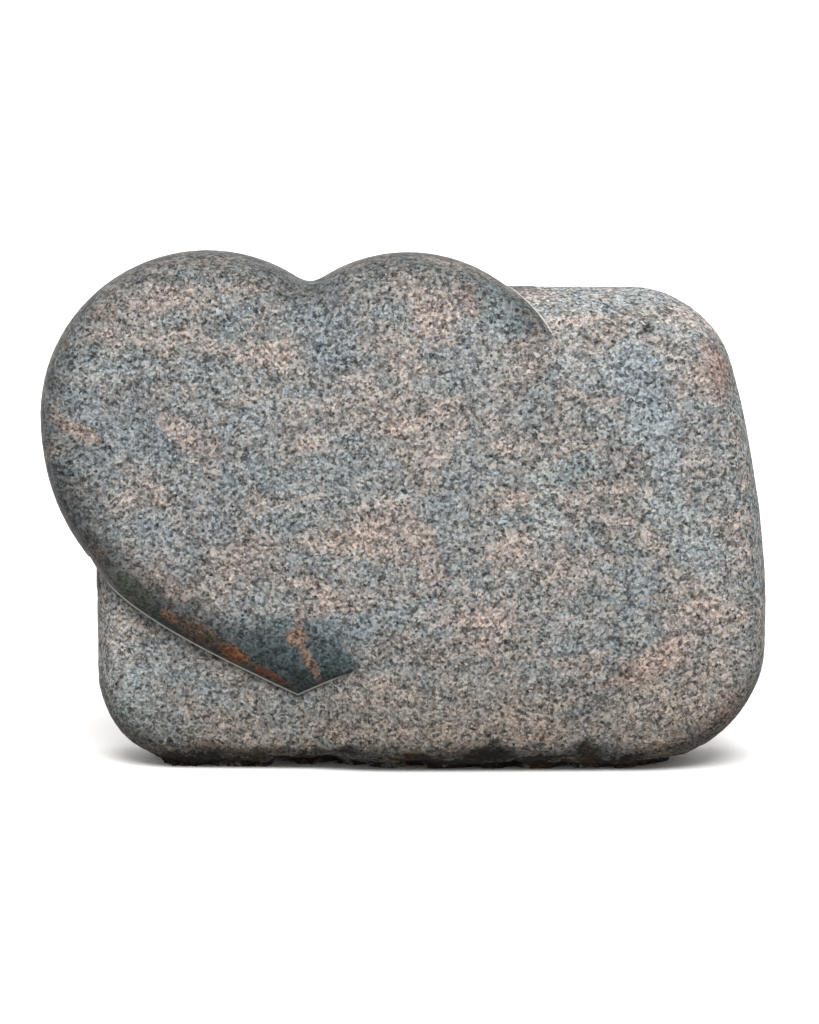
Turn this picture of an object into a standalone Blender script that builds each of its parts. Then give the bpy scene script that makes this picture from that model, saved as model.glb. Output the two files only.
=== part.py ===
# Urn headstone: one block of granite, with a heart carved proud of a rounded slab.
# Metres, +Z up. The front faces -Y, +X is to the right seen from the front, and the origin lies on
# the bed that the stone stands on, under the middle of the whole block.

import math

import bmesh
import bpy
import numpy as np
from mathutils.geometry import delaunay_2d_cdt

# Slab, seen from the front: x counts from its left side and z from the bed.
# The right side leans in towards the top, and is bowed out by RIGHT_SIDE_BOW half way up.
SLAB_WIDTH = 0.512
SLAB_HEIGHT = 0.3705
RIGHT_SIDE_LEAN = 0.037
RIGHT_SIDE_BOW = 0.025
BOTTOM_LEFT_RADIUS = 0.079
BOTTOM_RIGHT_RADIUS = 0.088
TOP_RIGHT_RADIUS = 0.065
TOP_LEFT_RADIUS = 0.060
BED_CUT = 0.006

# Heart, in the same plane: two round lobes, and flanks that run down to the tip.
# Its places count from the slab's left side and down from the slab's top.
LEFT_LOBE = (0.088, 0.100)
LEFT_LOBE_RADIUS = 0.1275
RIGHT_LOBE = (0.243, 0.097)
RIGHT_LOBE_RADIUS = 0.123
CLEFT_RADIUS = 0.0165
TIP = (0.159, 0.311)
FLANK_START = math.radians(2)
FLANK_SWELL = 0.119
TIP_SLOPE = math.radians(25)

# Depths, counted forwards from the flat back.
DEPTH = 0.142
GIRDLE_DEPTH = 0.062
CROWN_FALL_SIDES = 0.009
CROWN_FALL_ENDS = 0.012
BACK_DRAW_IN = 0.009
BACK_ARRIS = 0.003

# Edges: how far in from the outline each one is rounded, and how square the rounding is.
SLAB_ROLL = 0.030
HEART_ROLL = 0.038
TIP_ROLL = 0.062
ROLL_SQUARENESS = 2.2

# The slab is cut down below the heart, less so towards the bed, and behind the heart's right lobe.
# It swells back to the heart's level beside the tip, over LOWER_CUT_RAMP, and the cut runs out
# upwards over LOWER_CUT_FADE. The cut along the top grows by the power UPPER_CUT_CURVE.
LOWER_CUT = 0.024
LOWER_CUT_AT_BED = 0.012
LOWER_CUT_RISE = 0.110
LOWER_CUT_RAMP = 0.064
LOWER_CUT_FADE = 0.145
UPPER_CUT = 0.024
UPPER_CUT_HEIGHT = 0.072
UPPER_CUT_CURVE = 1.5

# Hollow that runs down from the cleft between the lobes.
VALLEY_DEPTH = 0.008
VALLEY_WIDTH = 0.022
VALLEY_LENGTH = 0.085

# Flakes broken off the front edge of the bed: place along the slab, half width, height, depth.
FLAKES = (
    (0.182, 0.046, 0.0080, 0.017),
    (0.148, 0.014, 0.0085, 0.022),
    (0.183, 0.017, 0.0125, 0.026),
    (0.246, 0.013, 0.0050, 0.013),
    (0.326, 0.007, 0.0070, 0.015),
    (0.366, 0.012, 0.0035, 0.010),
    (0.436, 0.026, 0.0050, 0.014),
)

# Fineness of the faceted surface. A point of an inner row may lie ROW_SLACK too near its outline.
OUTLINE_STEP = 0.009
FACE_STEP = 0.0105
FACE_GAP = 0.0063
BACK_STEP = 0.032
ROLL_ROWS = 6
ROW_SLACK = 0.0004
WALL_ROWS = 4
BED_EDGE_ROWS = (0.0, 0.0025, 0.0055, 0.0095)
BED_EDGE_STEP = 0.006
MERGE_GAP = 0.000005
SMOOTH_ANGLE = math.radians(38)

GRANITE_COLOUR = (0.235, 0.228, 0.216, 1.0)
GRANITE_ROUGHNESS = 0.75


def arc(centre, radius, start, end):
    """Points along a circle from one angle to another, in steps of about OUTLINE_STEP."""
    count = max(3, round(abs(end - start) * radius / OUTLINE_STEP))
    angles = np.linspace(start, end, count + 1)
    return np.column_stack((centre[0] + radius * np.cos(angles), centre[1] + radius * np.sin(angles)))


def direction(angle):
    return np.array((math.cos(angle), math.sin(angle)))


def angle_of(vector):
    return math.atan2(vector[1], vector[0])


def on_slab(place):
    """The elevation's point at these distances from the slab's left side and top."""
    return np.array((place[0], SLAB_HEIGHT - place[1]))


def flank(start, start_heading, end, end_heading):
    """A smooth curve that leaves start along its heading and reaches end along the other."""
    handles = (start, start + FLANK_SWELL * direction(start_heading),
               end - FLANK_SWELL * direction(end_heading), end)
    count = max(3, round(np.linalg.norm(end - start) / OUTLINE_STEP))
    t = np.linspace(0, 1, count + 1)[:, None]
    weights = ((1 - t) ** 3, 3 * t * (1 - t) ** 2, 3 * t ** 2 * (1 - t), t ** 3)
    return sum(weight * handle for weight, handle in zip(weights, handles))


def cleft_centre():
    """Centre of the small arc that touches both lobes from above."""
    left = on_slab(LEFT_LOBE)
    across = on_slab(RIGHT_LOBE) - left
    gap = np.linalg.norm(across)
    to_left = LEFT_LOBE_RADIUS + CLEFT_RADIUS
    to_right = RIGHT_LOBE_RADIUS + CLEFT_RADIUS
    along = (to_left ** 2 - to_right ** 2 + gap ** 2) / (2 * gap)
    up = np.array((-across[1], across[0])) / gap
    return left + across / gap * along + up * math.sqrt(to_left ** 2 - along ** 2)


def without_repeats(points):
    steps = np.linalg.norm(points - np.roll(points, 1, axis=0), axis=1)
    return points[steps > OUTLINE_STEP / 10]


def heart_outline():
    """The heart, anticlockwise from its tip."""
    tip = on_slab(TIP)
    left = on_slab(LEFT_LOBE)
    right = on_slab(RIGHT_LOBE)
    cleft = cleft_centre()
    right_end = right + RIGHT_LOBE_RADIUS * direction(-FLANK_START)
    left_end = left + LEFT_LOBE_RADIUS * direction(math.pi + FLANK_START)
    right_flank = flank(tip, TIP_SLOPE, right_end, math.pi / 2 - FLANK_START)
    left_flank = flank(left_end, FLANK_START - math.pi / 2, tip, -TIP_SLOPE)
    right_meet = angle_of(cleft - right)
    left_meet = angle_of(cleft - left)
    return without_repeats(np.concatenate((
        right_flank,
        arc(right, RIGHT_LOBE_RADIUS, -FLANK_START, right_meet),
        arc(cleft, CLEFT_RADIUS, right_meet - math.pi, left_meet - math.pi),
        arc(left, LEFT_LOBE_RADIUS, left_meet, math.pi + FLANK_START),
        left_flank,
    )))


def rounded_corner(before, corner, after, radius):
    """The arc that rounds one corner of an anticlockwise outline."""
    inward = (before - corner) / np.linalg.norm(before - corner)
    outward = (after - corner) / np.linalg.norm(after - corner)
    half_angle = math.acos(np.clip(inward @ outward, -1, 1)) / 2
    middle = (inward + outward) / np.linalg.norm(inward + outward)
    centre = corner + middle * radius / math.sin(half_angle)
    start = angle_of(corner + inward * radius / math.tan(half_angle) - centre)
    end = angle_of(corner + outward * radius / math.tan(half_angle) - centre)
    return arc(centre, radius, start, end if end > start else end + 2 * math.pi)


def slab_outline():
    """The slab before its bed is sawn, anticlockwise from the lower left corner."""
    corners = np.array((
        (0, -BED_CUT),
        (SLAB_WIDTH, -BED_CUT),
        (SLAB_WIDTH - RIGHT_SIDE_LEAN, SLAB_HEIGHT),
        (0, SLAB_HEIGHT),
    ))
    radii = (BOTTOM_LEFT_RADIUS, BOTTOM_RIGHT_RADIUS, TOP_RIGHT_RADIUS, TOP_LEFT_RADIUS)
    rounded = [
        rounded_corner(corners[i - 1], corners[i], corners[(i + 1) % 4], radii[i]) for i in range(4)
    ]
    points = []
    for i in range(4):
        points.extend(rounded[i])
        start, end = rounded[i][-1], rounded[(i + 1) % 4][0]
        count = max(2, round(np.linalg.norm(end - start) / OUTLINE_STEP))
        points.extend(start + (end - start) * t for t in np.linspace(0, 1, count + 1)[1:-1])
    points = np.array(points)
    rise = (points[:, 1] + BED_CUT) / (SLAB_HEIGHT + BED_CUT)
    bow = 4 * rise * (1 - rise) * RIGHT_SIDE_BOW
    points[:, 0] += bow * np.clip(points[:, 0] / SLAB_WIDTH, 0, 1)
    return without_repeats(points)


def distance_inside(points, loop):
    """Distance from each point to a closed outline, above zero inside it."""
    start = loop
    end = np.roll(loop, -1, axis=0)
    edge = end - start
    to_point = points[:, None] - start
    along = np.clip((to_point * edge).sum(2) / (edge ** 2).sum(1), 0, 1)
    distance = np.linalg.norm(to_point - along[..., None] * edge, axis=2).min(1)
    x, z = points[:, 0, None], points[:, 1, None]
    spans = (start[:, 1] > z) != (end[:, 1] > z)
    rise = np.where(edge[:, 1] == 0, 1, edge[:, 1])
    crossing = start[:, 0] + (z - start[:, 1]) * edge[:, 0] / rise
    inside = (spans & (x < crossing)).sum(1) % 2 == 1
    return np.where(inside, distance, -distance)


def rolled(t):
    """A rounded edge: 0 at the outline, rising steeply at first, and level at t = 1."""
    t = np.clip(t, 0, 1)
    return (1 - (1 - t) ** ROLL_SQUARENESS) ** (1 / ROLL_SQUARENESS)


def eased(t):
    t = np.clip(t, 0, 1)
    return t * t * (3 - 2 * t)


def crown(x, z):
    """The gently domed front that slab and heart share."""
    across = (x - SLAB_WIDTH / 2) / (SLAB_WIDTH / 2)
    up = (z - SLAB_HEIGHT / 2) / (SLAB_HEIGHT / 2)
    return DEPTH - CROWN_FALL_SIDES * across ** 2 - CROWN_FALL_ENDS * up ** 2


def slab_cut(x, z):
    """How far the slab lies behind the crown: below the heart, and along the top."""
    depth = LOWER_CUT_AT_BED + (LOWER_CUT - LOWER_CUT_AT_BED) * eased(z / LOWER_CUT_RISE)
    beside_tip = 1 - eased((x - on_slab(TIP)[0]) / LOWER_CUT_RAMP)
    below_lobe = eased((on_slab(LEFT_LOBE)[1] - z) / LOWER_CUT_FADE)
    rise = np.clip(z - SLAB_HEIGHT + UPPER_CUT_HEIGHT, 0, None) / UPPER_CUT_HEIGHT
    return depth * beside_tip * below_lobe + UPPER_CUT * rise ** UPPER_CUT_CURVE


def valley(x, z):
    """The hollow that fades out downwards from the cleft."""
    cleft = cleft_centre()
    drop = (cleft[1] - z) / VALLEY_LENGTH
    return VALLEY_DEPTH * np.exp(-((x - cleft[0]) / VALLEY_WIDTH) ** 2) * (1 - eased(drop))


def heart_roll(x, z):
    """Width of the heart's rounded edge, which is widest at the tip."""
    tip = on_slab(TIP)
    near_tip = np.exp(-((x - tip[0]) ** 2 + (z - tip[1]) ** 2) / TIP_ROLL ** 2)
    return HEART_ROLL + (TIP_ROLL - HEART_ROLL) * near_tip


def flaked(x, z):
    """Depth broken off the front edge of the bed."""
    lost = np.zeros_like(x)
    for place, half_width, height, depth in FLAKES:
        scoop = 1 - ((x - place) / half_width) ** 2 - (np.clip(z, 0, None) / height) ** 2
        lost = np.maximum(lost, depth * np.clip(scoop, 0, None))
    return lost


def front_depth(points, slab, heart):
    """Height of the front surface above the back at each point of the elevation."""
    x, z = points.T
    in_slab = distance_inside(points, slab)
    in_heart = distance_inside(points, heart)
    slab_level = crown(x, z) - slab_cut(x, z)
    in_block = np.maximum(in_slab, in_heart)
    slab_face = GIRDLE_DEPTH + (slab_level - GIRDLE_DEPTH) * rolled(in_block / SLAB_ROLL)
    heart_level = crown(x, z) - valley(x, z)
    raised = rolled(in_heart / heart_roll(x, z))
    return slab_face + (heart_level - slab_face) * raised - flaked(x, z)


def inset(loop, distance):
    """An outline's points moved inwards along its normals."""
    along = np.roll(loop, -1, axis=0) - np.roll(loop, 1, axis=0)
    normals = np.column_stack((-along[:, 1], along[:, 0]))
    normals /= np.linalg.norm(normals, axis=1)[:, None]
    return loop + normals * np.asarray(distance).reshape(-1, 1)


def row_offsets(width):
    """Distances from an outline that cut its rounded edge into rows of about equal height."""
    angles = np.arange(1, ROLL_ROWS + 1) / ROLL_ROWS * math.pi / 2
    return width * (1 - np.cos(angles))


def hex_grid(low, high, step):
    rows = np.arange(low[1], high[1], step * math.sqrt(3) / 2)
    return np.array([
        (x, z)
        for number, z in enumerate(rows)
        for x in np.arange(low[0] + step / 2 * (number % 2), high[0], step)
    ])


def apart(points, others, gap):
    """The points that keep a gap to all the others."""
    if not len(points):
        return points
    near = np.array([np.linalg.norm(others - point, axis=1).min() for point in points])
    return points[near > gap]


def front_points(slab, heart):
    """Points inside the outlines, set close where the front is curved."""
    found = np.concatenate((slab, heart))
    bed_edge = np.array([
        (x, z) for z in BED_EDGE_ROWS for x in np.arange(0, SLAB_WIDTH, BED_EDGE_STEP)
    ])
    bed_edge = bed_edge[distance_inside(bed_edge, slab) > OUTLINE_STEP]
    found = np.concatenate((found, bed_edge))
    for loop, width in ((heart, HEART_ROLL), (slab, SLAB_ROLL)):
        last = 0
        for offset in row_offsets(width):
            row = inset(loop, offset)
            row = row[distance_inside(row, loop) > offset - ROW_SLACK]
            if loop is slab:
                row = row[distance_inside(row, heart) < -OUTLINE_STEP / 2]
            row = apart(row, found, (offset - last) / 2)
            found = np.concatenate((found, row))
            last = offset
    outlines = np.concatenate((slab, heart))
    grid = hex_grid(outlines.min(0), outlines.max(0), FACE_STEP)
    in_slab = distance_inside(grid, slab)
    in_heart = distance_inside(grid, heart)
    on_face = (in_heart > HEART_ROLL) | ((in_heart < 0) & (in_slab > SLAB_ROLL))
    return np.concatenate((found[len(outlines):], apart(grid[on_face], found, FACE_GAP)))


def triangulated(loops, inside):
    """A flat net of triangles over closed outlines that may cross, with extra points inside."""
    edges = []
    first = 0
    for loop in loops:
        edges.extend((first + i, first + (i + 1) % len(loop)) for i in range(len(loop)))
        first += len(loop)
    points = [tuple(point) for point in np.concatenate((*loops, inside))]
    net = delaunay_2d_cdt(points, edges, [], 0, MERGE_GAP, False)
    points = np.array([tuple(point) for point in net[0]])
    middles = points[np.array(net[2])].mean(1)
    covered = np.max([distance_inside(middles, loop) for loop in loops], axis=0) > 0
    return points, [face for face, keep in zip(net[2], covered) if keep]


def boundary_loop(faces):
    """Point numbers around the edge of a flat net, anticlockwise."""
    sides = {(face[i - 1], face[i]) for face in faces for i in range(len(face))}
    after = {a: b for a, b in sorted(sides) if (b, a) not in sides}
    start = next(iter(after))
    loop = [start]
    while after[loop[-1]] != start:
        loop.append(after[loop[-1]])
    return loop


def wall_rows():
    """Depth and draw-in of each row of the sides, from the girdle to the back."""
    rows = []
    for i in range(1, WALL_ROWS + 1):
        t = i / WALL_ROWS
        rows.append((GIRDLE_DEPTH + (BACK_ARRIS - GIRDLE_DEPTH) * t, BACK_DRAW_IN * t ** 2))
    rows.append((0.0, BACK_DRAW_IN + BACK_ARRIS))
    return rows


def add_net(mesh, points, depth, faces):
    """Adds a net of triangles that lies at the given depths, and returns its corners."""
    corners = [mesh.verts.new((x, -w, z)) for (x, z), w in zip(points, depth)]
    for face in faces:
        mesh.faces.new([corners[i] for i in face])
    return corners


def block_mesh():
    """The whole block as one closed mesh, not yet sawn to its bed."""
    slab = slab_outline()
    heart = heart_outline()
    mesh = bmesh.new()
    points, faces = triangulated((slab, heart), front_points(slab, heart))
    ring = boundary_loop(faces)
    depth = front_depth(points, slab, heart)
    depth[ring] = GIRDLE_DEPTH
    corners = add_net(mesh, points, depth, faces)
    row = [corners[i] for i in ring]
    for w, draw_in in wall_rows():
        outline = inset(points[ring], draw_in)
        next_row = [mesh.verts.new((x, -w, z)) for x, z in outline]
        for i in range(len(row)):
            mesh.faces.new((row[i - 1], next_row[i - 1], next_row[i], row[i]))
        row = next_row
    grid = hex_grid(outline.min(0), outline.max(0), BACK_STEP)
    grid = grid[distance_inside(grid, outline) > BACK_STEP / 2]
    back_points, back_faces = triangulated((outline,), grid)
    add_net(mesh, back_points, np.zeros(len(back_points)), [face[::-1] for face in back_faces])
    bmesh.ops.remove_doubles(mesh, verts=mesh.verts, dist=MERGE_GAP)
    return mesh


def saw_bed(mesh):
    """Cuts the block flat at z = 0 and closes the cut."""
    geometry = mesh.verts[:] + mesh.edges[:] + mesh.faces[:]
    bmesh.ops.bisect_plane(mesh, geom=geometry, dist=MERGE_GAP, plane_co=(0, 0, 0),
                           plane_no=(0, 0, -1), clear_outer=True)
    open_edges = [edge for edge in mesh.edges if edge.is_boundary]
    bmesh.ops.holes_fill(mesh, edges=open_edges, sides=0)


def centred(mesh):
    """Moves the block so that the origin is on the bed, under the middle of its box."""
    places = np.array([vert.co[:] for vert in mesh.verts])
    middle = (places.min(0) + places.max(0)) / 2
    bmesh.ops.translate(mesh, verts=mesh.verts, vec=(-middle[0], -middle[1], 0))


def granite():
    material = bpy.data.materials.new("granite")
    material.use_nodes = True
    shader = material.node_tree.nodes["Principled BSDF"]
    shader.inputs["Base Color"].default_value = GRANITE_COLOUR
    shader.inputs["Roughness"].default_value = GRANITE_ROUGHNESS
    shader.inputs["Metallic"].default_value = 0.0
    return material


def headstone(collection):
    mesh = block_mesh()
    saw_bed(mesh)
    centred(mesh)
    bmesh.ops.triangulate(mesh, faces=[face for face in mesh.faces if len(face.verts) > 3])
    bmesh.ops.recalc_face_normals(mesh, faces=mesh.faces)
    data = bpy.data.meshes.new("headstone")
    mesh.to_mesh(data)
    mesh.free()
    data.shade_smooth()
    data.set_sharp_from_angle(angle=SMOOTH_ANGLE)
    stone = bpy.data.objects.new("headstone", data)
    stone.data.materials.append(granite())
    collection.objects.link(stone)
    return stone


def main():
    for thing in list(bpy.data.objects):
        bpy.data.objects.remove(thing, do_unlink=True)
    collection = bpy.data.collections.new("urn headstone")
    bpy.context.scene.collection.children.link(collection)
    headstone(collection)


main()
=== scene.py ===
import math

import bpy
import numpy as np
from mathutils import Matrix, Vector


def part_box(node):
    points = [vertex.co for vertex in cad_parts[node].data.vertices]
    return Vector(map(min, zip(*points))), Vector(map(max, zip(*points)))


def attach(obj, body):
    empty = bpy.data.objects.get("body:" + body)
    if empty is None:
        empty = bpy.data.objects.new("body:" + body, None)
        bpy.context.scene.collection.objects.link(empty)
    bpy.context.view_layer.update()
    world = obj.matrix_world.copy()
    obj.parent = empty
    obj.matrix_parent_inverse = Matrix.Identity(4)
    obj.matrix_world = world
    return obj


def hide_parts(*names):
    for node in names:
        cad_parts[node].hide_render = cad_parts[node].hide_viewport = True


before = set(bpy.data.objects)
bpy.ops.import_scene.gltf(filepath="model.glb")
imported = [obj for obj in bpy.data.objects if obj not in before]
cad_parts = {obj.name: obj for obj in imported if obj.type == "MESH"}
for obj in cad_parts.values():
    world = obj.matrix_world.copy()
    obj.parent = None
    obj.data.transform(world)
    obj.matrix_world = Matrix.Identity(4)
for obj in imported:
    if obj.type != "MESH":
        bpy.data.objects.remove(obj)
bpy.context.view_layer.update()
stoneLow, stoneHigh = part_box("headstone")
print("frame loaded: one block of granite")

# The template of the heart, in metres. Its left lobe touches the block's left side and top.
heart = {
    "leftRadius": 0.1275,
    "rightRadius": 0.123,
    "rightFromLeft": (0.155, 0.003),
    "tipFromLeft": (0.071, -0.211),
    "cleftRadius": 0.0165,
    "flankStart": 2,           # degrees below the lobe's middle
    "flankSwell": 0.119,
    "tipSlope": 25,
    "step": 0.004,
    "slabLeftFromLeft": -0.088,
    "slabTopFromLeft": 0.100,
}


def heading(degrees):
    return np.array((math.cos(math.radians(degrees)), math.sin(math.radians(degrees))))


def degreesOf(vector):
    return math.degrees(math.atan2(vector[1], vector[0]))


def arcPoints(centre, radius, start, end):
    count = max(3, round(abs(math.radians(end - start)) * radius / heart["step"]))
    return [centre + radius * heading(angle) for angle in np.linspace(start, end, count + 1)]


def flankPoints(start, startHeading, end, endHeading):
    swell = heart["flankSwell"]
    handles = (start, start + swell * heading(startHeading), end - swell * heading(endHeading), end)
    t = np.linspace(0, 1, round(np.linalg.norm(end - start) / heart["step"]))[:, None]
    weights = ((1 - t) ** 3, 3 * t * (1 - t) ** 2, 3 * t ** 2 * (1 - t), t ** 3)
    return list(sum(weight * handle for weight, handle in zip(weights, handles)))


def heartTemplate():
    left, right, tip = heart["left"], heart["right"], heart["tip"]
    begin = heart["flankStart"]
    across = right - left
    gap = np.linalg.norm(across)
    toLeft = heart["leftRadius"] + heart["cleftRadius"]
    toRight = heart["rightRadius"] + heart["cleftRadius"]
    along = (toLeft ** 2 - toRight ** 2 + gap ** 2) / (2 * gap)
    up = np.array((-across[1], across[0])) / gap
    cleft = left + across / gap * along + up * math.sqrt(toLeft ** 2 - along ** 2)
    rightMeet = degreesOf(cleft - right)
    leftMeet = degreesOf(cleft - left)
    rightEnd = right + heart["rightRadius"] * heading(-begin)
    leftEnd = left + heart["leftRadius"] * heading(180 + begin)
    loop = flankPoints(tip, heart["tipSlope"], rightEnd, 90 - begin)
    loop += arcPoints(right, heart["rightRadius"], -begin, rightMeet)[1:]
    loop += arcPoints(cleft, heart["cleftRadius"], rightMeet - 180, leftMeet - 180)[1:]
    loop += arcPoints(left, heart["leftRadius"], leftMeet, 180 + begin)[1:]
    loop += flankPoints(leftEnd, begin - 90, tip, -heart["tipSlope"])[1:-1]
    return np.array(loop)


def depthInside(places, loop):
    start, end = loop, np.roll(loop, -1, axis=0)
    edge = end - start
    rise = np.where(edge[:, 1] == 0, 1, edge[:, 1])
    result = np.empty(len(places))
    batch = 4000     # keeps the arrays small
    for first in range(0, len(places), batch):
        p = places[first:first + batch, None]
        along = np.clip(((p - start) * edge).sum(2) / (edge ** 2).sum(1), 0, 1)
        distance = np.linalg.norm(p - start - along[..., None] * edge, axis=2).min(1)
        spans = (start[:, 1] > p[..., 1]) != (end[:, 1] > p[..., 1])
        crossing = start[:, 0] + (p[..., 1] - start[:, 1]) * edge[:, 0] / rise
        inside = (spans & (p[..., 0] < crossing)).sum(1) % 2 == 1
        result[first:first + batch] = np.where(inside, distance, -distance)
    return result


def fade(value, low, high):
    t = np.clip((value - low) / (high - low), 0, 1)
    return t * t * (3 - 2 * t)


heart["left"] = np.array((stoneLow.x + heart["leftRadius"], stoneHigh.z - heart["leftRadius"]))
heart["right"] = heart["left"] + heart["rightFromLeft"]
heart["tip"] = heart["left"] + heart["tipFromLeft"]

# The block's surface. All lengths in metres.
stone = {
    "mergeGap": 1e-6,
    "sharpAngle": 26,          # degrees; sharper edges of the block stay crisp
    "levels": 2,
    "smoothAngle": 40,
    "flameSize": 0.0055,       # the flamed skin's pits
    "flameDepth": 0.0007,
    "waveSize": 0.034,         # the unevenness that the chisel left
    "waveDepth": 0.0011,
    "breakSize": 0.012,        # the broken foot
    "breakDepth": 0.0046,
    "breakReach": 0.030,       # how far onto the heart the breaks run
    "leastWeight": 0.01,
    "honedCalm": 0.85,         # share of the unevenness that honing took off
    "edgeCalm": 0.5,           # the same, right at the heart's edge
    "edgeCalmWidth": 0.003,
    "rimWidth": 0.042,         # the honed edge of the heart
    "rimShare": 0.80,          # how far the upper edge is honed, against the lower one; the lower edge's extra darkening is painted shade
    "tipPatch": 0.0645,        # how far from the heart's tip it was honed
    "wallGap": 0.014,
    "footHeight": 0.022,
}

# Where each finish begins and ends: lengths in metres, facings as a share of the surface's normal.
zoneLimits = {
    "edgeSlack": 0.0004,               # this far outside the template is still on the heart
    "lowerRise": 0.12,                 # the heart's edge turns from lower to upper over this height
    "lowerRunOut": (0.022, 0.040),     # right of the tip, where the lower edge runs out into the slab
    "upperRunOut": (0.040, 0.070),     # above the right lobe's middle, where the upper edge does
    "rimFull": 0.003,                  # fully honed this far in from the edge
    "lowerGain": 0.25,                 # the lower edge is honed wider by this share, which widens its painted shade too
    "wallFacing": (-0.5, -0.2),
    "tipDragFrom": 0.018,              # right of the tip, from where the tip patch falls off faster
    "tipDrag": 0.45,
    "tipFade": (0.8, 1.1),             # shares of the tip patch's reach
    "frontFacing": (0.05, 0.3),
    "slabEdge": 0.002,
    "seamDrop": 0.09,                  # the painted highlight line starts this far below the lobes' middle
    "lowerSeam": (0.024, 0.038),
    "upperSeam": (0.050, 0.074),
    "upperSeamShare": 0.4,
    "underFacing": (0.1, 0.9),
    "bedFacing": -0.97,
    "bedHeight": 0.0005,
    "backFacing": (0.8, 0.95),
}


def floats(collection, name, width):
    flat = np.empty(len(collection) * width, np.float32)
    collection.foreach_get(name, flat)
    return flat.reshape(-1, width).astype(float)


def addModifier(piece, name, kind, settings):
    modifier = piece.modifiers.new(name, kind)
    for key, value in settings.items():
        setattr(modifier, key, value)
    bpy.ops.object.modifier_apply(modifier=name)


def setGroup(piece, name, weights):
    group = piece.vertex_groups.new(name=name)
    for index in np.nonzero(weights > stone["leastWeight"])[0]:
        group.add([int(index)], float(weights[index]), "REPLACE")


def setAttribute(piece, name, values):
    layer = piece.data.attributes.new(name, "FLOAT", "POINT")
    layer.data.foreach_set("value", np.asarray(values, np.float32))


def roundedCopy(node):
    piece = bpy.data.objects.new("stone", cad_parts[node].data.copy())
    bpy.context.scene.collection.objects.link(piece)
    bpy.ops.object.select_all(action="DESELECT")
    piece.select_set(True)
    bpy.context.view_layer.objects.active = piece
    bpy.ops.object.mode_set(mode="EDIT")
    bpy.ops.mesh.select_all(action="SELECT")
    bpy.ops.mesh.remove_doubles(threshold=stone["mergeGap"])
    bpy.ops.mesh.select_mode(type="EDGE")
    bpy.ops.mesh.select_all(action="DESELECT")
    bpy.ops.mesh.edges_select_sharp(sharpness=math.radians(stone["sharpAngle"]))
    bpy.ops.object.mode_set(mode="OBJECT")
    sharp = np.zeros(len(piece.data.edges), bool)
    piece.data.edges.foreach_get("select", sharp)
    creases = piece.data.attributes.new("crease_edge", "FLOAT", "EDGE")
    creases.data.foreach_set("value", sharp.astype(np.float32))
    levels = stone["levels"]
    addModifier(piece, "rounding", "SUBSURF", {"levels": levels, "render_levels": levels})
    return piece


# How far the block is honed, sawn, broken and so on, as a number from 0 to 1 at each vertex.
def surfaceZones(piece):
    plan = floats(piece.data.vertices, "co", 3)[:, (0, 2)]
    x, z = plan.T
    facing = floats(piece.data.vertex_normals, "vector", 3)
    inHeart = depthInside(plan, heartTemplate())
    onHeart = inHeart > -zoneLimits["edgeSlack"]
    lobesMiddle = heart["left"][1]
    pastTip = x - heart["tip"][0]
    aboveRight = z - heart["right"][1]
    lower = 1 - fade(z, lobesMiddle - zoneLimits["lowerRise"], lobesMiddle)
    lowerEdge = 1 - fade(pastTip, *zoneLimits["lowerRunOut"])
    upperEdge = fade(aboveRight, *zoneLimits["upperRunOut"])
    free = np.maximum(lowerEdge, upperEdge) * (stone["rimShare"] + (1 - stone["rimShare"]) * lower)
    rimEnd = stone["rimWidth"] * (1 + zoneLimits["lowerGain"] * lower)
    rim = onHeart * (1 - fade(inHeart, zoneLimits["rimFull"], rimEnd)) * free
    wall = (np.abs(inHeart) < stone["wallGap"]) * fade(facing[:, 1], *zoneLimits["wallFacing"]) * free
    tipAway = np.linalg.norm(plan - heart["tip"], axis=1)
    tipAway += zoneLimits["tipDrag"] * np.maximum(pastTip - zoneLimits["tipDragFrom"], 0)
    patch = onHeart * (1 - fade(tipAway, *[stone["tipPatch"] * share for share in zoneLimits["tipFade"]]))
    front = fade(-facing[:, 1], *zoneLimits["frontFacing"])
    slabLeft = heart["left"][0] + heart["slabLeftFromLeft"]
    slabTop = lobesMiddle + heart["slabTopFromLeft"]
    slabEdge = zoneLimits["slabEdge"]
    overSlab = fade(x, slabLeft - slabEdge, slabLeft + slabEdge) * (z < slabTop - slabEdge / 2)
    lowerSeam = (z < lobesMiddle - zoneLimits["seamDrop"]) * (1 - fade(pastTip, *zoneLimits["lowerSeam"]))
    upperSeam = (x > heart["right"][0]) * fade(aboveRight, *zoneLimits["upperSeam"])
    under = fade(-facing[:, 2], *zoneLimits["underFacing"])
    bed = (facing[:, 2] < zoneLimits["bedFacing"]) & (z < zoneLimits["bedHeight"])
    back = fade(facing[:, 1], *zoneLimits["backFacing"])
    return {
        "inHeart": inHeart,            # metres in from the heart's edge, below 0 outside it
        # the honed edge; in the colour its darkening is partly painted shade
        "honed": np.maximum(rim, wall) * (1 - back),
        "tipPatch": patch * front,
        # where the painted highlight line runs along the heart's edge
        "seam": overSlab * np.maximum(lowerSeam, zoneLimits["upperSeamShare"] * upperSeam) * front,
        "foot": (1 - fade(z, 0, stone["footHeight"])) * (1 - back),
        # surfaces that face down, which the colour darkens with painted shade
        "under": under * ~bed,
        "sawn": np.maximum(back, bed),
    }


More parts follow.
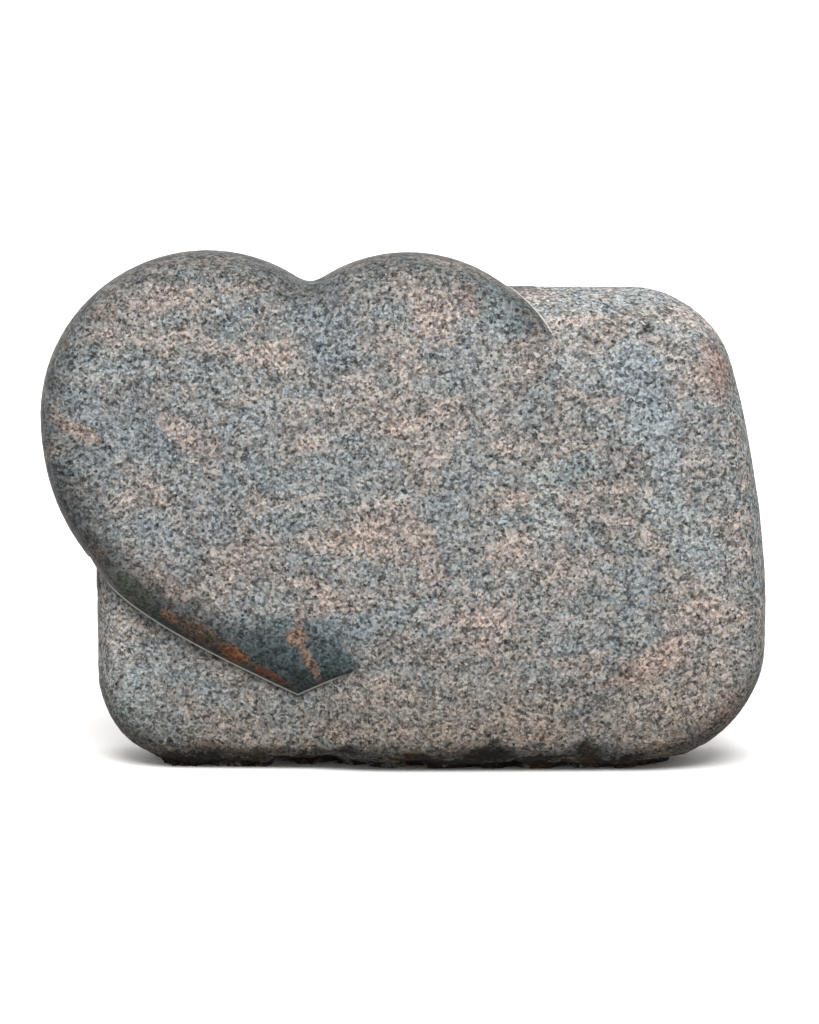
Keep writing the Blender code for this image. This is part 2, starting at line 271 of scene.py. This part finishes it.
def makeStone():
    piece = roundedCopy("headstone")
    zones = surfaceZones(piece)
    for name, values in zones.items():
        setAttribute(piece, name, values)
    rough = 1 - zones["sawn"]
    uneven = rough * (1 - stone["honedCalm"] * np.maximum(zones["honed"], zones["tipPatch"]))
    atEdge = fade(np.abs(zones["inHeart"]), stone["edgeCalmWidth"], 0.0)
    offHeart = fade(-zones["inHeart"], -stone["breakReach"], 0.0)
    setGroup(piece, "flamed", uneven * (1 - stone["edgeCalm"] * atEdge))
    setGroup(piece, "broken", zones["foot"] * rough * offHeart)
    for name, group, size, depth in (
        ("waves", "flamed", stone["waveSize"], stone["waveDepth"]),
        ("flames", "flamed", stone["flameSize"], stone["flameDepth"]),
        ("breaks", "broken", stone["breakSize"], stone["breakDepth"]),
    ):
        texture = bpy.data.textures.new(name, "CLOUDS")
        texture.noise_scale = size
        texture.noise_depth = 2
        addModifier(piece, name, "DISPLACE", {
            "texture": texture,
            "texture_coords": "LOCAL",
            "vertex_group": group,
            "strength": depth,
            "mid_level": 1.0,      # only ever inwards
        })
        bpy.data.textures.remove(texture)
    places = floats(piece.data.vertices, "co", 3)
    piece.data.vertices.foreach_set("co", np.clip(places, stoneLow, stoneHigh).ravel())
    piece.data.update()
    bpy.ops.object.shade_smooth_by_angle(angle=math.radians(stone["smoothAngle"]))
    return piece


stonePiece = makeStone()
print("stone shaped:", len(stonePiece.data.polygons), "faces")


def hexColour(code):
    parts = [int(code[i:i + 2], 16) / 255 for i in (1, 3, 5)]
    return (*[c / 12.92 if c <= 0.04045 else ((c + 0.055) / 1.055) ** 2.4 for c in parts], 1)


# An input is a number, a hex colour or another node's output.
def addNode(tree, kind, settings, inputs, out=0):
    node = tree.nodes.new("ShaderNode" + kind)
    for key, value in settings.items():
        setattr(node, key, value)
    for key, value in inputs.items():
        if isinstance(value, bpy.types.NodeSocket):
            tree.links.new(value, node.inputs[key])
        else:
            node.inputs[key].default_value = hexColour(value) if isinstance(value, str) else value
    return node.outputs[out]


def fillRamp(output, stops):
    elements = output.node.color_ramp.elements
    while len(elements) < len(stops):
        elements.new(0.5)
    for element, (place, tone) in zip(elements, stops):
        element.position = place
        element.color = hexColour(tone) if isinstance(tone, str) else (tone, tone, tone, 1)
    return output


# Granite: feldspar, quartz and mica grains of 1 to 2 mm. The front was flamed, which bursts the grains
# and leaves them pale and rough; the heart's edge and tip were honed, which leaves them dark and even, and
# the edge's darkening also holds painted shade.
# Object coordinates are turned to millimetres, so each size below is a length on the stone.
granite = {
    "grain": 2.0,
    "fineGrain": 1.25,
    "grainShare": 0.62,
    "grainTones": (
        (0.0, 0.08), (0.15, 0.34), (0.35, 0.76), (0.5, 1.1), (0.65, 1.46), (0.85, 2.02), (1.0, 2.5),
    ),
    "grainTop": 2.8,             # keeps the ramp below 1
    "fleckSize": 2.7,            # black mica
    "fleckTone": 0.46,
    "fleckLimits": {"From Min": 0.62, "From Max": 0.66},
    "fleckMottle": 0.45,         # fewer flecks in the warm mottles
    "jitterSize": 1.5,
    "jitterShift": 1.3,
    "coolGrain": "#f0f6fc",
    "warmGrain": "#fcf3ea",
    "warpSize": 62,
    "warpShift": 34,
    "raggedSize": 7,             # breaks up the edges of the clouds and stains
    "raggedShift": 13,
    "cloudWarp": 0.35,
    "stainRagged": 0.4,
    "bandSize": 27,
    "bandTurn": 38,              # degrees that the bands run down to the right
    "bandStretch": 0.5,
    "mottleSize": 9,
    "bands": (
        (0.28, "#83959c"),
        (0.42, "#929a9c"),
        (0.52, "#9b9690"),
        (0.62, "#a6958a"),
        (0.76, "#b68e7a"),
    ),
    "mottles": ((0.30, "#bccbd3"), (0.5, "#e4e4e2"), (0.70, "#fff0e4")),
    "saturation": 0.46,
    # honed stone's darker colour together with painted shade on the heart's rounded edge
    "honedAndShadeTone": "#808586",
    "honedMottle": 0.6,
    "honedGain": 1.3,
    "polishedLimits": {"From Min": 0.4, "From Max": 0.8},
    "tipTone": "#4b565b",
    "tipCover": 0.85,
    "tipLimits": {"From Min": 0.5, "From Max": 1.1},
    "heartEdge": 0.0005,         # metres
    # painted shade on the surfaces that face down
    "underShadeTone": "#b0a69c",
    "underShadeShare": 0.25,
    # painted shade: the stone grows darker towards the bottom
    "lowShadeHeight": 120,
    "lowShadeTone": "#d2cec8",
    # painted highlight along the heart's edge
    "seamHighlightTone": "#fbf5ec",
    "seamWidth": 1.1,
    "seamOffset": 0.5,           # its middle lies just outside the heart's edge
    "seamBlur": 0.25,
    # earth on the broken foot, whose dark band is also painted shade along the bottom edge
    "soilAndShadeSize": 18,
    "soilAndShadeContrast": 5.2,
    "soilAndShadeLimits": {"From Min": 0.62, "From Max": 0.85},
    "soilAndShadeTop": {"From Min": 0.03, "From Max": 0.12},
    "soilAndShadeCover": 0.93,
    "footTone": "#1f1c19",
    "footRust": "#3a281b",
    "rustLimits": {"From Min": 0.48, "From Max": 0.62},
    "flamedRoughness": 0.88,
    "honedRoughness": 0.6,
    "sawnRoughness": 0.7,
    "shine": 0.16,
    "grainRelief": 0.35,
    "reliefStrength": 0.55,
    "reliefLoss": 0.8,           # share of the relief that honing and sawing took off
}

# Clouds of colour on this block: middle across and up from the bed's middle,
# half length and half width, turn in degrees, all in millimetres on the front face; then tone and strength.
clouds = {
    "blueFar": (173, 308, 34, 20, -66, "#6a808c", 0.7),
    "blueFarTail": (188, 254, 44, 15, -64, "#78909b", 0.65),
    "tealFarLow": (214, 180, 50, 18, -52, "#869da2", 0.55),
    "tealMiddle": (104, 205, 12, 40, 0, "#8fa3a2", 0.5),
    "roseTopRight": (236, 314, 13, 34, 10, "#7f5848", 0.88),
    "darkFlecks": (182, 335, 7, 4, 30, "#2a3033", 0.75),
    "duskLeftEdge": (-240, 222, 40, 22, 80, "#5f6d74", 0.55),
    "brownBandUpper": (160, 340, 36, 9, 38, "#87725f", 0.7),
    "blueCleft": (-60, 340, 26, 42, 12, "#657883", 0.72),
    "blueRightLobe": (71, 352, 16, 24, 25, "#708890", 0.65),
    "roseRightLobe": (22, 346, 18, 24, 20, "#a2806e", 0.55),
    "blueLeft": (-205, 268, 58, 26, -8, "#6b7b84", 0.72),
    "blueLeftTail": (-158, 205, 44, 15, -52, "#74848c", 0.6),
    "blueInner": (-135, 205, 12, 36, 0, "#6d7f88", 0.62),
    "roseLeftTop": (-192, 355, 40, 10, 8, "#977969", 0.55),
    "roseLeftEdge": (-247, 262, 24, 5, -30, "#9c745e", 0.75),
    "roseLeftMiddle": (-168, 260, 22, 9, -48, "#ab8876", 0.6),
    "orangeMiddle": (-42, 176, 34, 10, -4, "#ab8970", 0.5),
    "orangeMiddleTail": (14, 170, 12, 34, 22, "#a3816b", 0.55),
    "orangeInner": (-116, 164, 26, 16, 0, "#967a69", 0.55),
    "orangeCentre": (13, 240, 14, 26, 0, "#9a8372", 0.5),
    "orangeLowRight": (180, 82, 42, 12, 33, "#a27459", 0.85),
    # painted light: it lightens the slab below the heart's left lobe, where the lobe's overhang shades it
    "paintedLightLeftStrip": (-222, 100, 54, 17, 90, "#b8b2aa", 0.8),
    "warmFootRight": (70, 46, 150, 28, 4, "#a48f7b", 0.35),
    "warmFarLow": (216, 60, 50, 34, 20, "#a8907a", 0.4),
    "tealLowLeft": (-208, 56, 34, 30, 0, "#76919a", 0.85),
    "tealLowMiddle": (-64, 44, 50, 10, 4, "#7a807d", 0.6),
    "tealLowRight": (142, 56, 32, 7, 25, "#67787a", 0.65),
    "blueLowInner": (-166, 163, 15, 10, 60, "#6c7d85", 0.6),
    "roseFarLobe": (50, 357, 7, 13, 20, "#9c6e5a", 0.55),
    "brownFootLeft": (-146, 14, 28, 10, -4, "#4a3627", 0.9),
    "blackFootLeft": (-112, 10, 16, 7, 0, "#24221e", 0.9),
    "blackFootInner": (-46, 18, 10, 5, 0, "#302d29", 0.85),
    "blackFootMiddle": (66, 14, 20, 10, 6, "#1c1c1b", 0.95),
    "brownFootRight": (138, 17, 10, 11, 0, "#36281e", 0.9),
}

# Darker stains that the honed stone shows: the same numbers, laid over the honed and shaded tone.
stains = {
    "greenAlongEdge": (-205, 138, 30, 9, -42, "#444b40", 0.7),
    "brownAlongEdge": (-155, 108, 20, 9, -32, "#655444", 0.7),
    "orangeAlongEdge": (-178, 120, 8, 4, -36, "#866450", 0.75),
    "duskLeft": (-102, 92, 15, 11, -20, "#434f52", 0.6),
    "duskRight": (-52, 84, 22, 7, 20, "#495a5e", 0.6),
    "duskTip": (-82, 73, 6, 12, 24, "#30393c", 0.85),
    "paleRight": (-46, 112, 22, 14, -10, "#6d787d", 0.7),
    "paleTop": (-92, 116, 14, 7, 10, "#5b6667", 0.6),
    "rustNearTip": (-129, 91, 12, 6, -30, "#905f3c", 0.9),
    "rustToTip": (-104, 76, 17, 4, -28, "#7a4c32", 0.8),
    "veinTop": (-80, 118, 3.5, 10, 4, "#7e6e66", 0.7),
    "veinBlob": (-81, 106, 8, 6.5, 20, "#8a7060", 0.8),
    "veinTail": (-72, 86, 3.6, 18, 26, "#907868", 0.85),
}

# How a cloud or stain fades out: reach in half lengths, depth in millimetres, then the fade's two ends.
softEdge = {"reach": 1.5, "depth": 60, "from": 0.05, "to": 0.62}

# Settings that many nodes share.
colourMix = {"data_type": "RGBA"}
colourMultiply = {"data_type": "RGBA", "blend_type": "MULTIPLY"}
smoothRange = {"interpolation_type": "SMOOTHSTEP"}
multiply = {"operation": "MULTIPLY"}
multiplyAdd = {"operation": "MULTIPLY_ADD"}
addition = {"operation": "ADD"}
greater = {"operation": "MAXIMUM"}
scaling = {"operation": "SCALE"}


def addClouds(tree, colour, position, table, mask=None):
    frontFace = stoneLow.y * 1000
    reach = softEdge["reach"]
    for name, (across, up, halfLength, halfWidth, turn, tone, strength) in table.items():
        spot = addNode(tree, "Mapping", {"vector_type": "TEXTURE", "label": name}, {
            "Vector": position,
            "Location": (across, frontFace, up),
            "Rotation": (0, -math.radians(turn), 0),
            "Scale": (halfLength * reach, softEdge["depth"], halfWidth * reach),
        })
        shape = addNode(tree, "TexGradient", {"gradient_type": "SPHERICAL"}, {"Vector": spot}, "Color")
        amount = addNode(tree, "MapRange", smoothRange, {
            "Value": shape,
            "From Min": softEdge["from"],
            "From Max": softEdge["to"],
            "To Max": strength,
        })
        if mask is not None:
            amount = addNode(tree, "Math", multiply, {0: amount, 1: mask})
        colour = addNode(tree, "Mix", colourMix, {0: amount, 6: colour, 7: tone}, 2)
    return colour


def makeGranite():
    material = bpy.data.materials.new("flamed and honed granite")
    material.use_nodes = True
    tree = material.node_tree
    shader = tree.nodes["Principled BSDF"]
    zones = {
        name: addNode(tree, "Attribute", {"attribute_name": name}, {}, "Fac")
        for name in ("inHeart", "honed", "tipPatch", "seam", "foot", "under", "sawn")
    }
    metres = addNode(tree, "TexCoord", {}, {}, "Object")
    place = addNode(tree, "VectorMath", scaling, {0: metres, "Scale": 1000})

    def drift(size, length, detail):
        # wanders by up to half the length either way
        noise = addNode(tree, "TexNoise", {}, {"Vector": place, "Scale": 1 / size, "Detail": detail}, "Color")
        return addNode(tree, "VectorMath", multiplyAdd, {0: noise, 1: [length] * 3, 2: [-length / 2] * 3})

    def moved(start, shift, share=1.0):
        part = addNode(tree, "VectorMath", scaling, {0: shift, "Scale": share})
        return addNode(tree, "VectorMath", addition, {0: start, 1: part})

    # bands of mixed feldspar, their mottling and the clouds
    warp = drift(granite["warpSize"], granite["warpShift"], 2)
    ragged = drift(granite["raggedSize"], granite["raggedShift"], 2)
    cloudPlace = moved(moved(place, ragged), warp, granite["cloudWarp"])
    bandPlace = addNode(tree, "Mapping", {}, {
        "Vector": moved(place, warp),
        "Rotation": (0, math.radians(granite["bandTurn"]), 0),
        "Scale": (granite["bandStretch"], 1, 1),
    })
    band = addNode(tree, "TexNoise", {}, {
        "Vector": bandPlace, "Scale": 1 / granite["bandSize"], "Detail": 3, "Roughness": 0.55,
    }, "Fac")
    mottle = addNode(tree, "TexNoise", {}, {
        "Vector": bandPlace, "Scale": 1 / granite["mottleSize"], "Detail": 4, "Roughness": 0.6,
    }, "Fac")
    colour = fillRamp(addNode(tree, "ValToRGB", {}, {"Fac": band}, "Color"), granite["bands"])
    mottling = fillRamp(addNode(tree, "ValToRGB", {}, {"Fac": mottle}, "Color"), granite["mottles"])
    colour = addNode(tree, "Mix", colourMultiply, {0: 1.0, 6: colour, 7: mottling}, 2)
    colour = addClouds(tree, colour, cloudPlace, clouds)
    colour = addNode(tree, "HueSaturation", {}, {"Color": colour, "Saturation": granite["saturation"]})

    # honed stone is darker, and along the heart's edge the darkening is partly painted shade, most on the
    # lower side; the tip darkest and bluest
    change = granite["honedMottle"]
    uneven = addNode(tree, "Math", multiplyAdd, {0: mottle, 1: -change, 2: granite["honedGain"]})
    honed = addNode(tree, "Math", {**multiply, "use_clamp": True}, {0: zones["honed"], 1: uneven})
    tip = addNode(tree, "Math", multiplyAdd, {0: mottle, 1: change, 2: zones["tipPatch"]})
    tip = addNode(tree, "MapRange", smoothRange, {"Value": tip, **granite["tipLimits"]})
    tipCover = addNode(tree, "Math", multiply, {0: tip, 1: granite["tipCover"]})
    polished = addNode(tree, "MapRange", smoothRange, {"Value": honed, **granite["polishedLimits"]})
    polished = addNode(tree, "Math", greater, {0: polished, 1: tip})
    colour = addNode(tree, "Mix", colourMultiply, {0: honed, 6: colour, 7: granite["honedAndShadeTone"]}, 2)
    colour = addNode(tree, "Mix", colourMix, {0: tipCover, 6: colour, 7: granite["tipTone"]}, 2)
    onHeart = addNode(tree, "MapRange", smoothRange, {
        "Value": zones["inHeart"], "From Min": 0.0, "From Max": granite["heartEdge"],
    })
    colour = addClouds(tree, colour, moved(place, ragged, granite["stainRagged"]), stains, onHeart)

    # grains: each cell of two sizes has its own tone and its own warm or cool tint
    grainPlace = moved(place, drift(granite["jitterSize"], granite["jitterShift"], 1))
    cells = []
    for size in (granite["grain"], granite["fineGrain"], granite["fleckSize"]):
        cell = addNode(tree, "TexVoronoi", {}, {"Vector": grainPlace, "Scale": 1 / size}, "Color")
        cells.append(addNode(tree, "SeparateColor", {}, {"Color": cell}).node.outputs)
    coarse, fine, flecks = cells
    share = granite["grainShare"]
    finePart = addNode(tree, "Math", multiply, {0: fine["Red"], 1: 1 - share})
    grain = addNode(tree, "Math", multiplyAdd, {0: coarse["Red"], 1: share, 2: finePart})
    top = granite["grainTop"]
    tones = [(at, tone / top) for at, tone in granite["grainTones"]]
    grainTone = fillRamp(addNode(tree, "ValToRGB", {}, {"Fac": grain}, "Color"), tones)
    fleck = addNode(tree, "Math", multiplyAdd, {0: mottle, 1: -granite["fleckMottle"], 2: flecks["Red"]})
    fleck = addNode(tree, "MapRange", smoothRange, {"Value": fleck, **granite["fleckLimits"]})
    light = addNode(tree, "Math", multiplyAdd, {0: fleck, 1: top * (granite["fleckTone"] - 1), 2: top})
    tone = addNode(tree, "Math", multiply, {0: grainTone, 1: light})
    toneColour = addNode(tree, "CombineColor", {}, {"Red": tone, "Green": tone, "Blue": tone})
    tint = addNode(tree, "Mix", colourMix, {
        0: coarse["Green"], 6: granite["coolGrain"], 7: granite["warmGrain"],
    }, 2)
    colour = addNode(tree, "Mix", colourMultiply, {0: 1.0, 6: colour, 7: tint}, 2)
    colour = addNode(tree, "Mix", colourMultiply, {0: 1.0, 6: colour, 7: toneColour}, 2)

    # a painted highlight: the thin light line where the heart's edge meets the slab
    fromLine = addNode(tree, "Math", multiplyAdd, {0: zones["inHeart"], 1: 1000.0, 2: granite["seamOffset"]})
    fromLine = addNode(tree, "Math", {"operation": "ABSOLUTE"}, {0: fromLine})
    halfWidth, blur = granite["seamWidth"] / 2, granite["seamBlur"]
    seamHighlight = addNode(tree, "MapRange", smoothRange, {
        "Value": fromLine, "From Min": halfWidth + blur, "From Max": halfWidth - blur,
    })
    seamHighlight = addNode(tree, "Math", multiply, {0: seamHighlight, 1: zones["seam"]})
    colour = addNode(tree, "Mix", colourMix, {0: seamHighlight, 6: colour, 7: granite["seamHighlightTone"]}, 2)

    # painted shade on the surfaces that face down and on the whole stone towards the bottom; then earth and
    # rust on the broken foot, whose dark band is partly painted shade
    downShade = addNode(tree, "Math", multiply, {0: zones["under"], 1: granite["underShadeShare"]})
    colour = addNode(tree, "Mix", colourMultiply, {0: downShade, 6: colour, 7: granite["underShadeTone"]}, 2)
    height = addNode(tree, "SeparateXYZ", {}, {"Vector": place}, "Z")
    # painted shade that grows darker towards the bottom
    lowShade = addNode(tree, "MapRange", smoothRange, {
        "Value": height, "From Min": granite["lowShadeHeight"], "From Max": 0.0,
    })
    colour = addNode(tree, "Mix", colourMultiply, {0: lowShade, 6: colour, 7: granite["lowShadeTone"]}, 2)
    # earth on the foot in a ragged dark band, partly painted shade along the bottom edge
    soilAndShade = addNode(tree, "TexNoise", {}, {
        "Vector": place, "Scale": 1 / granite["soilAndShadeSize"], "Detail": 4, "Roughness": 0.6,
    }, "Fac")
    contrast = granite["soilAndShadeContrast"]
    soilAndShade = addNode(tree, "Math", multiplyAdd, {0: soilAndShade, 1: contrast, 2: -contrast / 2})
    soilAndShade = addNode(tree, "Math", addition, {0: zones["foot"], 1: soilAndShade})
    soilAndShade = addNode(tree, "MapRange", smoothRange, {"Value": soilAndShade, **granite["soilAndShadeLimits"]})
    nearFoot = addNode(tree, "MapRange", smoothRange, {"Value": zones["foot"], **granite["soilAndShadeTop"]})
    soilAndShade = addNode(tree, "Math", multiply, {0: soilAndShade, 1: nearFoot})
    soilAndShade = addNode(tree, "Math", multiply, {0: soilAndShade, 1: granite["soilAndShadeCover"]})
    rust = addNode(tree, "MapRange", smoothRange, {"Value": band, **granite["rustLimits"]})
    earthAndShade = addNode(tree, "Mix", colourMix, {0: rust, 6: granite["footTone"], 7: granite["footRust"]}, 2)
    earthAndShade = addNode(tree, "Mix", colourMultiply, {0: 1.0, 6: earthAndShade, 7: toneColour}, 2)
    colour = addNode(tree, "Mix", colourMix, {0: soilAndShade, 6: colour, 7: earthAndShade}, 2)
    tree.links.new(colour, shader.inputs["Base Color"])

    roughness = addNode(tree, "MapRange", smoothRange, {
        "Value": polished,
        "To Min": granite["flamedRoughness"],
        "To Max": granite["honedRoughness"],
    })
    roughness = addNode(tree, "Math", multiplyAdd, {
        0: zones["sawn"], 1: granite["sawnRoughness"] - granite["flamedRoughness"], 2: roughness,
    })
    tree.links.new(roughness, shader.inputs["Roughness"])
    shader.inputs["Specular IOR Level"].default_value = granite["shine"]
    even = addNode(tree, "Math", greater, {0: polished, 1: zones["sawn"]})
    kept = addNode(tree, "Math", multiplyAdd, {0: even, 1: -granite["reliefLoss"], 2: 1.0})
    relief = addNode(tree, "Bump", {}, {
        "Strength": granite["reliefStrength"],
        "Distance": granite["grainRelief"] / 1000,
        "Height": addNode(tree, "Math", multiply, {0: grain, 1: kept}),
    }, "Normal")
    tree.links.new(relief, shader.inputs["Normal"])
    return material


stonePiece.data.materials.clear()
stonePiece.data.materials.append(makeGranite())
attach(stonePiece, "root")
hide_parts("headstone")
print("granite laid on")

# Floor, light and camera. Lengths in metres.
studio = {
    "width": 80.0,
    "front": 40.0,
    "behind": 5.0,
    "height": 9.0,
    "bend": 2.5,
    "bendSteps": 24,
    "slack": 0.01,
    "paper": "#f8f7f5",
    "paperRoughness": 0.95,
    "paperShine": 0.1,
    "skyStrength": 0.9,
    "skyBelow": 0.14,
    "horizon": (-0.12, -0.02),         # heights of a sky direction between which the light sets in
    "keyFrom": (0.05, -0.62, 0.78),
    "keyDistance": 4,
    "keySoftness": 32,                 # degrees across
    "keyStrength": 3.2,
}
view = {
    "distance": 1.86,
    "elevation": 4.0,
    "lens": 84.3,
    "sensor": 36.0,
    "imageHeight": 1024,
    "objectMiddle": (405.5, 507.0),    # the stone's middle in the photograph, in pixels
    "imageMiddle": (409.5, 512.0),
}


def selectEdges(piece, wanted):
    bpy.ops.object.mode_set(mode="EDIT")
    bpy.ops.mesh.select_mode(type="EDGE")
    bpy.ops.mesh.select_all(action="DESELECT")
    bpy.ops.object.mode_set(mode="OBJECT")
    corners = piece.data.vertices
    for edge in piece.data.edges:
        edge.select = all(wanted(corners[i].co) for i in edge.vertices)
    bpy.ops.object.mode_set(mode="EDIT")


# A roll of matt white paper that sweeps up behind the stone: even, and without shine.
def makeBackdrop():
    bpy.ops.object.select_all(action="DESELECT")
    bpy.ops.mesh.primitive_plane_add(size=1, location=(0, 0, 0))
    backdrop = bpy.context.object
    backdrop.name = "backdrop"
    bpy.ops.object.mode_set(mode="EDIT")
    length = studio["front"] + studio["behind"]
    farSide = studio["behind"] - studio["slack"]
    bpy.ops.transform.resize(value=(studio["width"], length, 1), center_override=(0, 0, 0))
    bpy.ops.transform.translate(value=(0, length / 2 - studio["front"], 0))
    selectEdges(backdrop, lambda corner: corner.y > farSide)
    bpy.ops.mesh.extrude_region_move(TRANSFORM_OT_translate={"value": (0, 0, studio["height"])})
    selectEdges(backdrop, lambda corner: corner.y > farSide and corner.z < studio["slack"])
    bpy.ops.mesh.bevel(offset=studio["bend"], segments=studio["bendSteps"], affect="EDGES")
    bpy.ops.object.mode_set(mode="OBJECT")
    bpy.ops.object.shade_smooth()
    paper = bpy.data.materials.new("matt white paper")
    paper.use_nodes = True
    shader = paper.node_tree.nodes["Principled BSDF"]
    shader.inputs["Base Color"].default_value = hexColour(studio["paper"])
    shader.inputs["Roughness"].default_value = studio["paperRoughness"]
    shader.inputs["Specular IOR Level"].default_value = studio["paperShine"]
    backdrop.data.materials.append(paper)
    backdrop.visible_diffuse = False     # throws no light up on the stone, whose foot lies in its own shade


def makeKeyLight():
    light = bpy.data.lights.new("key", "SUN")
    light.energy = studio["keyStrength"]
    light.angle = math.radians(studio["keySoftness"])
    lamp = bpy.data.objects.new("key", light)
    lamp.location = studio["keyDistance"] * Vector(studio["keyFrom"])
    lamp.rotation_euler = Vector(studio["keyFrom"]).to_track_quat("Z", "Y").to_euler()
    bpy.context.scene.collection.objects.link(lamp)


# A white tent of light above the horizon, nearly dark below it.
def makeSky():
    world = bpy.data.worlds.new("studio")
    world.use_nodes = True
    tree = world.node_tree
    sky = tree.nodes["Background"]
    sky.inputs["Color"].default_value = (1, 1, 1, 1)
    direction = addNode(tree, "TexCoord", {}, {}, "Generated")
    upward = addNode(tree, "SeparateXYZ", {}, {"Vector": direction}, "Z")
    strength = addNode(tree, "MapRange", {}, {
        "Value": upward,
        "From Min": studio["horizon"][0],
        "From Max": studio["horizon"][1],
        "To Min": studio["skyBelow"],
        "To Max": studio["skyStrength"],
    })
    tree.links.new(strength, sky.inputs["Strength"])
    bpy.context.scene.world = world


def makeCamera():
    middle = (stoneLow + stoneHigh) / 2
    metresPerPixel = view["distance"] * view["sensor"] / view["lens"] / view["imageHeight"]
    aim = Vector((
        (view["imageMiddle"][0] - view["objectMiddle"][0]) * metresPerPixel,
        middle.y,
        middle.z - (view["imageMiddle"][1] - view["objectMiddle"][1]) * metresPerPixel,
    ))
    tilt = math.radians(view["elevation"])
    lens = bpy.data.cameras.new("camera")
    lens.lens = view["lens"]
    lens.sensor_width = view["sensor"]
    camera = bpy.data.objects.new("camera", lens)
    camera.location = aim + view["distance"] * Vector((0, -math.cos(tilt), math.sin(tilt)))
    camera.rotation_euler = (aim - camera.location).to_track_quat("-Z", "Y").to_euler()
    bpy.context.scene.collection.objects.link(camera)
    bpy.context.scene.camera = camera


makeBackdrop()
makeKeyLight()
makeSky()
makeCamera()
bpy.context.scene.view_settings.view_transform = "Standard"
print("backdrop, light and camera set")
